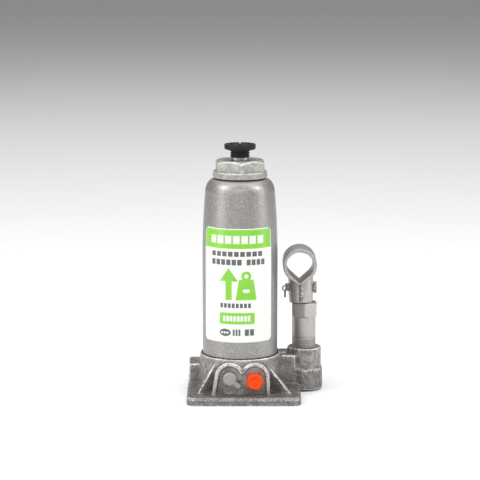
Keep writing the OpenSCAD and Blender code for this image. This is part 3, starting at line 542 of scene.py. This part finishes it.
TANK_LOW, TANK_HIGH, _ = span("tank_shell")
TANK_R = TANK_HIGH.x / MM
TANK_TOP = TANK_HIGH.z / MM
TANK_FOOT = TANK_LOW.z / MM
COLLAR_H = (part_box("tank_foot_gasket")[1].z / MM) - 0.4
PUMP_LOW, PUMP_HIGH, PUMP_MID = span("pump_cylinder")
PUMP_X, PUMP_Y = PUMP_MID.x / MM, PUMP_MID.y / MM
SCREW_LOW, SCREW_HIGH, _ = span("extension_screw")
CAP_LOW, CAP_HIGH, CAP_MID = span("overload_cap")
RELEASE_MID = span("release_ball")[2] / MM
YOKE_LOW, YOKE_HIGH, YOKE_MID = (v / MM for v in span("socket_yoke"))
SOCKET_LOW, SOCKET_HIGH, SOCKET_MID = (v / MM for v in span("handle_socket"))
LABEL_LOW, LABEL_HIGH, _ = span("label")

TAPER_DROP, TAPER_H = 2.2, 53.0       # the tank's shoulder starts narrower than its foot
SHOULDER_W, SHOULDER_H = 7.5, 10.6
TANK_WALL = 2.0
SHOULDER_Z = TANK_TOP - SHOULDER_H
TAPER_Z = SHOULDER_Z - TAPER_H


def tank_radius(z):
    """Outer radius of the tank below its shoulder, in millimetres."""
    return TANK_R - TAPER_DROP * max(0.0, (z - TAPER_Z) / TAPER_H) ** 2


# ---------------------------------------------------------------- materials

silver = tank_paint("tank_silver_paint")
cast_silver = cast_paint("base_casting_paint")
# the top nut's edge colour is worn paint together with a painted highlight
nut_silver = cast_paint("top_nut_paint", dark=(142, 141, 137), light=(172, 171, 166),
                        edge=(214, 212, 207), sparkle=0.24)
socket_silver = tank_paint("socket_silver_paint", low=(158, 155, 153), high=(172, 169, 167))
seam_silver = cast_paint("weld_seam_paint", dark=(104, 100, 98), light=(196, 192, 189))
pump_steel = steel("pump_cylinder_steel", low=(158, 154, 152), high=(196, 192, 190), rough=0.36,
                   metallic=0.85)
ram_steel = steel("ram_ground_steel", low=(176, 176, 176), high=(210, 210, 208), rough=0.12)
screw_steel = steel("screw_turned_steel", rough=0.22)
pin_steel = steel("pin_drawn_steel", low=(120, 117, 114), high=(172, 169, 166), rough=0.3, brushed=(8, 1, 1))
clip_steel = steel("clip_spring_steel", low=(36, 36, 38), high=(62, 62, 64), rough=0.35, metallic=0.8)
# painted light: the valve carries the base's grey paint, made lighter here so it stands apart as if it
# caught more light
valve_steel = steel("valve_painted_steel", low=(138, 135, 132), high=(168, 164, 161), rough=0.46,
                    brushed=(1, 8, 1), metallic=0.6)
# the saddle's near-black colour: partly its phosphate finish, partly painted shade
saddle_black_and_shade = steel("saddle_phosphate_and_shade", low=(18, 18, 20), high=(34, 34, 36), rough=0.5, metallic=0.4)
orange = moulded("cap_orange_plastic", (214, 60, 0), (228, 72, 0), rough=0.5, gloss=0.2)
rubber = moulded("black_rubber_matt", (26, 26, 27), (40, 40, 41), rough=0.62, grain=0.4)
nylon = moulded("ring_white_nylon", (218, 214, 204), (234, 231, 222), rough=0.45)
copper = steel("washer_copper", low=(150, 88, 58), high=(190, 120, 84), rough=0.34)
mesh_brass = steel("strainer_brass", low=(150, 126, 70), high=(188, 164, 98), rough=0.36)

SLOT_MATERIAL = {
    "cast_paint": cast_silver, "tank_paint": silver, "bright_steel": screw_steel, "label_film": nylon,
    "black_steel": clip_steel, "black_rubber": rubber, "white_nylon": nylon, "copper": copper,
    "brass_mesh": mesh_brass, "orange_plastic": orange,
}
for node_name, cad_object in NODES.items():
    cad_object.data.materials.clear()
    cad_object.data.materials.append(SLOT_MATERIAL.get(SLOT_OF[node_name], silver))

# ---------------------------------------------------------------- base casting

SEAT_Z = span("cylinder_seal_ring")[0].z / MM
PIT_Z = span("tank_foot_gasket")[0].z / MM
STRAINER_Z = span("suction_strainer")[0].z / MM
BOSS_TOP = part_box("base_casting")[1].z / MM
WASHER_Z = span("pump_washer")[0].z / MM
TANK_BORE = TANK_R + 1.0
PAD_DEPTH = 31.7         # the valves' pad, in front of the ram's axis
CHAMBER_R, WELL_R = 12.0, 17.55
CHAMBER_Z, GROOVE_IN = 15.0, 20.5      # the chamber's floor; the oil groove's inner radius
PUMP_WELL_R, PUMP_FOOT_R, PUMP_FOOT_Z = 9.05, 3.2, 9.0
VALVE_HOLE_R = 1.5                     # the drilling behind each valve's ball
RELEASE_R, RELEASE_SEAT = 3.5, 15.6
OVERLOAD_R, OVERLOAD_SEAT = 3.3, 16.0
CAP_STEM_R, CAP_STEM_SEAT = 4.2, 28.5
VALVE_START = 10.0
BEYOND = 8.0             # how far a cutter stands out of the casting
# each machined bore: axis, place on the axis, filler's radius and heights, then the cutter's
# outline as (radius, height) pairs along the axis
bores = [
    ((0, 0, 1), (0, 0, 0), TANK_BORE + 0.3, CHAMBER_Z - 0.2, COLLAR_H,
     [(0, CHAMBER_Z), (CHAMBER_R, CHAMBER_Z), (CHAMBER_R, SEAT_Z), (WELL_R, SEAT_Z), (WELL_R, PIT_Z),
      (GROOVE_IN, PIT_Z), (GROOVE_IN, STRAINER_Z), (TANK_R - TANK_WALL, STRAINER_Z),
      (TANK_R - TANK_WALL, PIT_Z), (TANK_BORE, PIT_Z), (TANK_BORE, COLLAR_H + BEYOND),
      (0, COLLAR_H + BEYOND)]),
    ((0, 0, 1), (PUMP_X, PUMP_Y, 0), PUMP_WELL_R + 0.35, PUMP_FOOT_Z - 1, BOSS_TOP,
     [(0, PUMP_FOOT_Z), (PUMP_FOOT_R, PUMP_FOOT_Z), (PUMP_FOOT_R, WASHER_Z), (PUMP_WELL_R, WASHER_Z),
      (PUMP_WELL_R, BOSS_TOP + BEYOND), (0, BOSS_TOP + BEYOND)]),
    ((0, -1, 0), (RELEASE_MID.x, 0, RELEASE_MID.z), RELEASE_R + 0.4, VALVE_START + 1, PAD_DEPTH,
     [(0, VALVE_START), (VALVE_HOLE_R, VALVE_START), (VALVE_HOLE_R, RELEASE_SEAT),
      (RELEASE_R, RELEASE_SEAT), (RELEASE_R, PAD_DEPTH + BEYOND), (0, PAD_DEPTH + BEYOND)]),
    ((0, -1, 0), (CAP_MID.x / MM, 0, CAP_MID.z / MM), CAP_STEM_R + 0.4, VALVE_START + 1, PAD_DEPTH,
     [(0, VALVE_START), (VALVE_HOLE_R, VALVE_START), (VALVE_HOLE_R, OVERLOAD_SEAT),
      (OVERLOAD_R, OVERLOAD_SEAT), (OVERLOAD_R, CAP_STEM_SEAT), (CAP_STEM_R, CAP_STEM_SEAT),
      (CAP_STEM_R, PAD_DEPTH + BEYOND), (0, PAD_DEPTH + BEYOND)]),
]
solid = cad_copy("base_casting")
for axis, at, radius, start, end, outline in bores:
    added(solid, filler(axis, at, radius, start, end))
# flash left by the mould: a nub on the front left corner and a burr on the front edge
low, high = (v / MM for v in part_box("base_casting"))
for ends, width in (([(low.x + 0.9, low.y + 4.6, 5.0), (low.x + 2.6, low.y + 2.0, 5.5)], 1.3),
                    ([(low.x + 22.0, low.y + 0.4, 1.4), (low.x + 24.2, low.y + 0.3, 3.6)], 0.7)):
    added(solid, bead(ends, width, ripple=0.0))
casting = with_wear_sheen_and_shade(cast(solid, 0.66, 2, 0.17, 0.2, 4.0), 0.10)
for vert in casting.verts:
    vert.co.z = max(vert.co.z, 0.0)      # the underside is ground flat
casting = cut(casting, [aimed(turned(outline, 96), axis, mm(*at))
                        for axis, at, radius, start, end, outline in bores])
finished("base_cast_body", casting, "base", cast_silver, ("base_casting",), sharp=50)

# ---------------------------------------------------------------- tank, its label and its plug

ARC_STEPS = 24
outline = [(TANK_R - 1.2, TANK_FOOT), (TANK_R - 0.2, TANK_FOOT + 0.2), (TANK_R, TANK_FOOT + 1.0)]
outline += [(tank_radius(z), z) for z in
            [TANK_FOOT + 4 + (SHOULDER_Z - TANK_FOOT - 4) * i / 40 for i in range(41)]]
for i in range(1, ARC_STEPS + 1):
    a = math.pi / 2 * i / ARC_STEPS
    outline.append((TANK_R - TAPER_DROP - SHOULDER_W * (1 - math.cos(a)),
                    SHOULDER_Z + SHOULDER_H * math.sin(a)))
neck_r = span("cylinder_tube")[1].x / MM + 0.3
outline += [(neck_r, TANK_TOP), (neck_r, TANK_TOP - TANK_WALL),
            (TANK_R - TAPER_DROP - TANK_WALL - 4, TANK_TOP - TANK_WALL - 1.5),
            (TANK_R - TAPER_DROP - TANK_WALL, SHOULDER_Z - 2), (TANK_R - TANK_WALL, TAPER_Z),
            (TANK_R - TANK_WALL, TANK_FOOT)]
finished("tank_drawn_shell", turned(outline, 160), "base", silver, ("tank_shell",))

LABEL_H = (LABEL_HIGH.z - LABEL_LOW.z) / MM
LABEL_Z = LABEL_LOW.z / MM
LABEL_LEFT, LABEL_RIGHT = -64.0, 54.5    # degrees from the front
LABEL_W = math.radians(LABEL_RIGHT - LABEL_LEFT) * TANK_R
LABEL_CORNER = 3.6
LABEL_FILM = 0.12
sheet = bmesh.new()
corners = [sheet.verts.new((x * LABEL_W / 2, y * LABEL_H / 2, 0))
           for x, y in ((-1, -1), (1, -1), (1, 1), (-1, 1))]
sheet.faces.new(corners)
bmesh.ops.bevel(sheet, geom=corners, offset=LABEL_CORNER, offset_type="OFFSET", affect="VERTICES",
                segments=8, profile=0.5, material=-1)
for along, count, size in (((1, 0, 0), 72, LABEL_W), ((0, 1, 0), 24, LABEL_H)):
    for i in range(1, count):
        at = Vector(along) * (size * (i / count - 0.5))
        bmesh.ops.bisect_plane(sheet, geom=sheet.verts[:] + sheet.edges[:] + sheet.faces[:],
                               dist=1e-5, plane_co=at, plane_no=along)
flat_uv = sheet.loops.layers.uv.new("sheet")
LABEL_MIDDLE = math.radians((LABEL_LEFT + LABEL_RIGHT) / 2)
for face in sheet.faces:
    for loop in face.loops:
        loop[flat_uv].uv = (loop.vert.co.x, loop.vert.co.y + LABEL_H / 2)
for vert in sheet.verts:
    around = LABEL_MIDDLE + vert.co.x / TANK_R
    z = LABEL_Z + LABEL_H / 2 + vert.co.y
    r = tank_radius(z) + 0.05 + LABEL_FILM
    vert.co = mm(r * math.sin(around), -r * math.cos(around), z)
sheet.normal_update()
outwards = sum(f.normal.xy.dot(f.calc_center_median().xy) for f in sheet.faces)
if outwards < 0:
    bmesh.ops.reverse_faces(sheet, faces=sheet.faces)
bmesh.ops.solidify(sheet, geom=sheet.faces, thickness=LABEL_FILM * MM)
bmesh.ops.recalc_face_normals(sheet, faces=sheet.faces)
finished("printed_wrap_label", sheet, "base", printed_label("label_film_print", LABEL_H),
         ("label",))

copy_of("filler_plug", rubber, 0.3)
copy_of("tank_foot_gasket", rubber, 0.12)

# ---------------------------------------------------------------- top nut, ram, screw and saddle

nut = with_wear_sheen_and_shade(cast(cad_copy("top_nut"), 0.42, 2, 0.03, 0.05, 9.0), 0.06)
finished("top_nut_cast", nut, "base", nut_silver, ("top_nut",), sharp=50)
copy_of("ram_wiper", rubber, 0.15)
copy_of("ram", ram_steel, 0.2)

RING_TOP = span("screw_stop_ring")[1].z / MM
SCREW_R, SCREW_CORE = 6.9, 5.9
SCREW_FOOT, SCREW_TIP = SCREW_LOW.z / MM, SCREW_HIGH.z / MM
STUB_R, STUB_H = 4.0, 6.0             # the stub that holds the saddle
FLANGE_R, FLANGE_H = 7.2, 2.3         # the flange under the saddle
SHOULDER_LOW = SCREW_TIP - STUB_H - FLANGE_H
SCREW_PITCH = 3.0
screw = turned([
    (0, SCREW_FOOT), (STUB_R, SCREW_FOOT), (STUB_R, RING_TOP), (SCREW_CORE - 0.5, RING_TOP),
    (SCREW_CORE, RING_TOP + 0.5), (SCREW_CORE, SHOULDER_LOW), (FLANGE_R - 0.2, SHOULDER_LOW),
    (FLANGE_R, SHOULDER_LOW + 0.2), (FLANGE_R, SHOULDER_LOW + FLANGE_H - 0.2),
    (FLANGE_R - 0.2, SHOULDER_LOW + FLANGE_H), (STUB_R, SHOULDER_LOW + FLANGE_H),
    (STUB_R, SCREW_TIP - 0.4), (STUB_R - 0.4, SCREW_TIP), (0, SCREW_TIP)], 96)
added(screw, helix_ridge(SCREW_CORE - 0.1, SCREW_R, SCREW_PITCH, RING_TOP + 2.0, SHOULDER_LOW - 1.2,
                         root_w=2.2, crest_w=0.9))
finished("extension_screw_threaded", screw, "extension_screw", screw_steel,
         ("extension_screw",))
copy_of("screw_stop_ring", clip_steel, 0.2)
copy_of("saddle", saddle_black_and_shade, 0.28, 24.0)

# ---------------------------------------------------------------- valves

copy_of("release_screw", valve_steel, 0.35)
cap_r = (CAP_HIGH.x - CAP_LOW.x) / 2 / MM
cap_face = CAP_LOW.y / MM
CAP_T = 6.0
cap = turned([
    (0, -2.9), (4.1, -2.9), (4.1, 0.0), (cap_r - 0.3, 0.0), (cap_r, 0.3), (cap_r, CAP_T - 1.6),
    (cap_r - 0.12, CAP_T - 1.05), (cap_r - 0.45, CAP_T - 0.55), (cap_r - 0.95, CAP_T - 0.2),
    (cap_r - 1.5, CAP_T - 0.06), (cap_r - 2.0, CAP_T - 0.2), (cap_r - 2.3, CAP_T - 0.45),
    (2.0, CAP_T - 0.5), (1.1, CAP_T - 0.5), (0.95, CAP_T - 0.2), (0.5, CAP_T - 0.12), (0, CAP_T - 0.12)], 96)
aimed(cap, (0, -1, 0), Vector((CAP_MID.x, (cap_face + CAP_T) * MM, CAP_MID.z)))
finished("overload_cap_moulded", cap, "base", orange, ("overload_cap",))

# springs of the overload and delivery valves, as rounded copies with meshes of their own
for spring, joint, way, fixed, travel in (
        ("overload_spring", "overload_opening", (0, 1, 0), "low", 1.0),
        ("delivery_spring", "delivery_opening", (0, 0, 1), "high", 1.2)):
    piece = copy_of(spring, screw_steel, 0.02, 60.0)
    low, high, middle = span(spring)
    line = Vector(way)
    length = (high - low).dot(line) / MM
    end = (low if fixed == "low" else high).dot(line)
    tuple(middle + line * (end - middle.dot(line)))
    (length - travel) / length
    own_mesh(piece)

# ---------------------------------------------------------------- pump

PUMP_TOP = PUMP_HIGH.z / MM
HEX_H = 11.6
HEX_LOW = PUMP_TOP - HEX_H
PUMP_R, BORE_R = 9.0, 6.05
PUMP_PITCH = 1.6
THREAD_TOP = BOSS_TOP + 8.0
pump = turned([
    (BORE_R, PUMP_LOW.z / MM), (PUMP_R, PUMP_LOW.z / MM), (PUMP_R, BOSS_TOP - 0.6), (PUMP_R - 0.8, BOSS_TOP),
    (PUMP_R - 0.8, THREAD_TOP + 0.3), (PUMP_R - 0.3, THREAD_TOP + 0.8), (PUMP_R - 0.1, THREAD_TOP + 1.4),
    (PUMP_R - 0.1, HEX_LOW + 0.4), (BORE_R, HEX_LOW + 0.4)], 128)
added(pump, helix_ridge(PUMP_R - 0.85, PUMP_R, PUMP_PITCH, BOSS_TOP - 1.2, THREAD_TOP,
                        root_w=1.3, crest_w=0.35))
bmesh.ops.translate(pump, verts=pump.verts, vec=mm(PUMP_X, PUMP_Y, 0))
finished("pump_barrel_threaded", pump, "base", pump_steel)
hexagon = rounded(cad_copy("pump_cylinder"), 0.35, 20.0)
below = bmesh.ops.bisect_plane(hexagon, geom=hexagon.verts[:] + hexagon.edges[:] + hexagon.faces[:],
                               dist=1e-6, plane_co=mm(0, 0, HEX_LOW - 0.3), plane_no=(0, 0, 1),
                               clear_inner=True)
rim = [e for e in below["geom_cut"] if isinstance(e, bmesh.types.BMEdge)]
bmesh.ops.bridge_loops(hexagon, edges=rim)
finished("pump_hexagon_head", hexagon, "base", pump_steel, ("pump_cylinder",), outward=True)
copy_of("pump_wiper", rubber, 0.3)
copy_of("pump_plunger", pin_steel, 0.4)

# ---------------------------------------------------------------- handle socket, yoke, pins and link

copy_of("handle_socket", socket_silver, 0.5)
copy_of("socket_yoke", socket_silver, 0.7)
beads = bead([(YOKE_MID.x, YOKE_LOW.y + 0.1, YOKE_LOW.z + 1.0),
              (YOKE_MID.x, YOKE_LOW.y - 0.2, YOKE_HIGH.z - 6.0)], 1.25, ripple=0.5, pitch=1.9)
added(beads, bead([(SOCKET_MID.x - 0.9, SOCKET_LOW.y + 0.6, SOCKET_LOW.z + 0.3),
                   (SOCKET_MID.x + 0.9, SOCKET_LOW.y + 0.6, SOCKET_LOW.z + 0.3)], 0.9, ripple=0.3))
SIDE_BEAD_R = 1.15
half = (YOKE_HIGH.x - YOKE_LOW.x) / 2
socket_r = (SOCKET_HIGH.x - SOCKET_LOW.x) / 2
socket_z = SOCKET_HIGH.z - socket_r
for side in (-1, 1):
    x = YOKE_MID.x + side * half
    drop = math.sqrt(max(socket_r ** 2 - (x - SOCKET_MID.x) ** 2, 0))
    added(beads, bead([(x, YOKE_LOW.y + half, socket_z - drop),
                       (x, SOCKET_HIGH.y - 1.0, socket_z - drop)], SIDE_BEAD_R))
finished("socket_weld_beads", beads, "socket", seam_silver)
for node_name, width in (("clevis_pin", 0.5), ("link_upper_pin", 0.3), ("link_lower_pin", 0.3)):
    copy_of(node_name, pin_steel, width)
copy_of("cotter_pin", pin_steel, 0.1, 50.0)
copy_of("link_left", socket_silver, 0.4)
copy_of("link_right", socket_silver, 0.4)
copy_of("link_clips", clip_steel, 0.15)

# ---------------------------------------------------------------- stage, light and camera


def stage_plane(name, size, colour):
    bm = bmesh.new()
    bmesh.ops.create_grid(bm, x_segments=1, y_segments=1, size=size)
    mesh = bpy.data.meshes.new(name)
    bm.to_mesh(mesh)
    bm.free()
    paper = Finish(name + "_paper", metallic=0.0)
    paper.set(base_color=paper.mix(paper.noise(60, 2), colour, [c * 0.985 for c in colour[:3]] + [1.0]),
              roughness=0.75 + paper.noise(8, 2) * 0.1)
    mesh.materials.append(paper.material)
    plane = bpy.data.objects.new(name, mesh)
    bpy.context.collection.objects.link(plane)
    return plane


stage_plane("studio_floor", 14.0, (0.80, 0.80, 0.80, 1.0))


def softbox(name, place, aim, power, width, height, tint=(1, 1, 1)):
    lamp = bpy.data.lights.new(name, "AREA")
    lamp.shape = "RECTANGLE"
    lamp.size, lamp.size_y = width, height
    lamp.energy = power
    lamp.color = tint
    holder = bpy.data.objects.new(name, lamp)
    holder.location = place
    holder.rotation_euler = (Vector(aim) - Vector(place)).to_track_quat("-Z", "Y").to_euler()
    holder.visible_camera = False
    bpy.context.collection.objects.link(holder)


bpy.context.scene.view_settings.view_transform = "Standard"

MIDDLE = (0.0, 0.0, 0.09)
softbox("softbox_left", (-0.78, -0.42, 0.44), MIDDLE, 3.0, 0.40, 0.95)
softbox("softbox_right", (0.84, -0.24, 0.44), MIDDLE, 2.7, 0.32, 0.95)
softbox("softbox_front", (-0.1, -1.9, 1.1), MIDDLE, 12.0, 1.8, 1.2)
softbox("softbox_high_left", (-0.95, -0.42, 1.0), MIDDLE, 6.0, 0.34, 0.34)
softbox("softbox_high_right", (0.97, -0.40, 1.0), MIDDLE, 5.0, 0.34, 0.34)
softbox("softbox_top", (0.0, 0.4, 2.4), (0, 0.4, 0), 64.0, 3.4, 3.4)

world = bpy.data.worlds.new("studio_world")
bpy.context.scene.world = world
world.use_nodes = True
world.node_tree.nodes["Background"].inputs["Color"].default_value = (1.0, 1.0, 1.0, 1.0)
world.node_tree.nodes["Background"].inputs["Strength"].default_value = 0.30

camera_data = bpy.data.cameras.new("studio_camera")
camera_data.lens = 144.6
camera_data.sensor_width = 36.0
camera_data.clip_end = 60.0
camera = bpy.data.objects.new("studio_camera", camera_data)
camera.location = (0.0, -1.465, 0.363)
camera.rotation_euler = (math.radians(80.6), 0.0, 0.0)
bpy.context.collection.objects.link(camera)
bpy.context.scene.camera = camera
